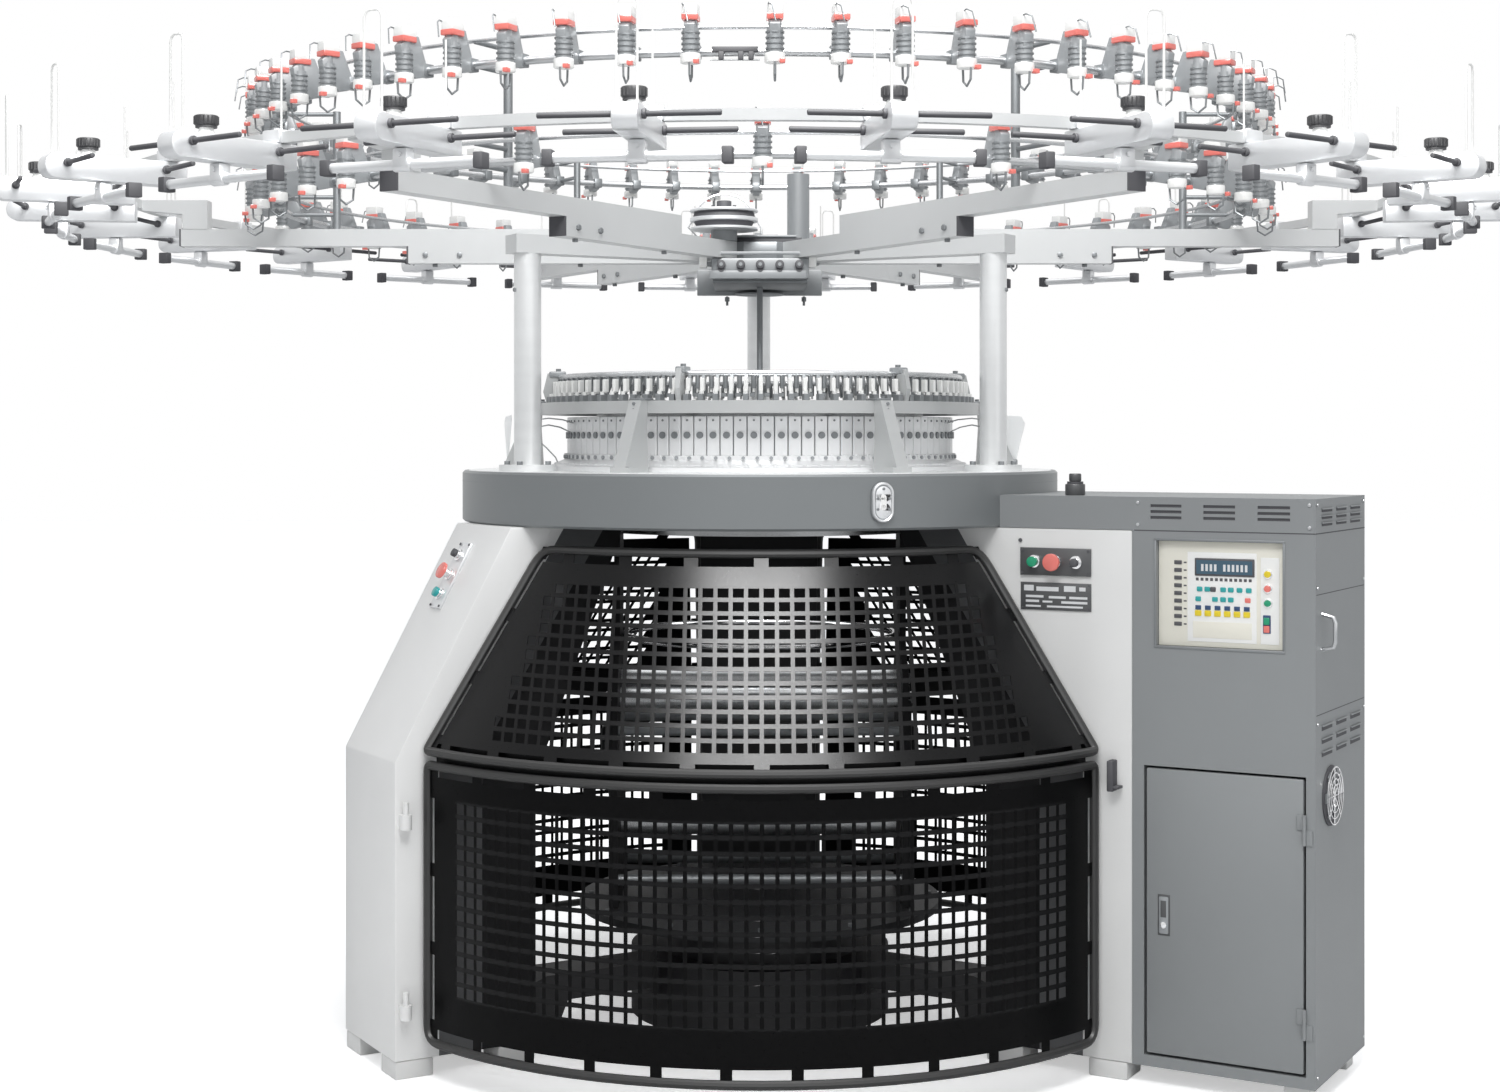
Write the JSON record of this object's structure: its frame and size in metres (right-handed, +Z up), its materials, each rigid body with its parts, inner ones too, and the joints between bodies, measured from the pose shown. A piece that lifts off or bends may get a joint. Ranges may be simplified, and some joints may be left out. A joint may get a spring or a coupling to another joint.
{
  "type": "single jersey circular knitting machine",
  "caption": "Circular knitting machine: round bed on legs, turning needle cylinder and take-down behind curved mesh guards, gate, overhead yarn creel, control cabinet.",
  "frame": {"origin": "on the floor under the needle cylinder's axis", "axes": "+X right seen from the front, +Y away from the front, +Z up along the cylinder's axis"},
  "size_m": [3.3766, 3.3766, 2.117],
  "materials": {
    "black_cast": "black painted casting",
    "leg_light": "light gray powder coat",
    "leg_gray": "pale gray powder coat",
    "mid_gray": "mid gray paint",
    "silver": "satin silver",
    "steel": "ground steel",
    "dark_steel": "dark gray paint",
    "chrome": "polished",
    "gloss_black": "gloss black paint",
    "black_plastic": "matte black",
    "white_plastic": "white",
    "off_white": "off-white face",
    "red_plastic": "red, green, teal and black caps",
    "wire_white": "white coated wire",
    "foot_black": "black"
  },
  "bodies": {
    "frame": {"base_spider": "black_cast", "leg_left": "leg_light", "leg_right": "leg_gray", "leg_rear": "leg_light", "leg_feet": "foot_black", "main_bed": "mid_gray", "bed_crank_cover": "chrome", "columns": "silver", "upper_guard_front": "gloss_black", "upper_guard_left": "gloss_black", "upper_guard_right": "gloss_black", "lower_guard_left": "gloss_black", "lower_guard_right": "gloss_black", "gate_hinges": "dark_steel", "gate_latch": "silver", "cam_base_ring": "dark_steel", "cam_boxes": "steel", "yarn_ring": "mid_gray", "ring_brackets": "mid_gray", "guide_ring": "steel", "guide_arms": "silver", "yarn_carriers": "white_plastic", "creel_hub": "mid_gray", "central_shaft": "dark_steel", "pulley_base": "dark_steel", "rear_mast": "silver", "creel_arms_upper": "mid_gray", "creel_arms_lower": "mid_gray", "column_beams": "mid_gray", "beam_caps": "black_plastic", "creel_ring": "mid_gray", "ring_blocks": "mid_gray", "door_hinges": "dark_steel", "cone_bars": "silver", "cone_rods": "black_plastic", "hanger_tubes": "silver", "hanger_caps": "black_plastic", "knob_cups": "black_plastic", "wire_posts": "wire_white", "ring_posts": "dark_steel", "feeder_ring_upper": "steel", "feeder_ring_lower": "steel", "feeders_upper": "white_plastic", "feeders_lower": "white_plastic", "top_box": "mid_gray", "top_lamp": "black_plastic", "cabinet_body": "mid_gray", "control_panel": "off_white", "side_fan": "black_plastic", "button_plates": "dark_steel", "push_buttons": "red_plastic"},
    "gate": {"front_gate": "gloss_black"},
    "cabinet_door": {"cabinet_door": "mid_gray"},
    "rotor": {"needle_cylinder": "steel", "turntable": "dark_steel", "takedown_frame": "dark_steel", "cloth_spreader": "chrome", "takedown_rollers": "steel", "cloth_roller": "steel"},
    "pulley_stack": {"quality_pulleys": "silver"}
  },
  "joints": [
    {"name": "gate_hinge", "type": "hinge", "parent": "frame", "child": "gate", "pos_m": [-0.7318, -0.61649, 0.159], "axis": [0, 0, -1], "range_deg": [0, 90]},
    {"name": "cabinet_door_hinge", "type": "hinge", "parent": "frame", "child": "cabinet_door", "pos_m": [1.07302, -0.79848, 0.066], "axis": [0, 0, 1], "range_deg": [0, 110]},
    {"name": "cylinder_spin", "type": "hinge", "parent": "frame", "child": "rotor", "pos_m": [0, 0, 0.26], "axis": [0, 0, 1], "continuous": true},
    {"name": "pulley_spin", "type": "hinge", "parent": "frame", "child": "pulley_stack", "pos_m": [-0.082, -0.15, 1.8], "axis": [0, 0, 1], "continuous": true}
  ],
  "couplings": [
    {"joint": "pulley_spin", "follows": "cylinder_spin", "ratio": 3}
  ]
}
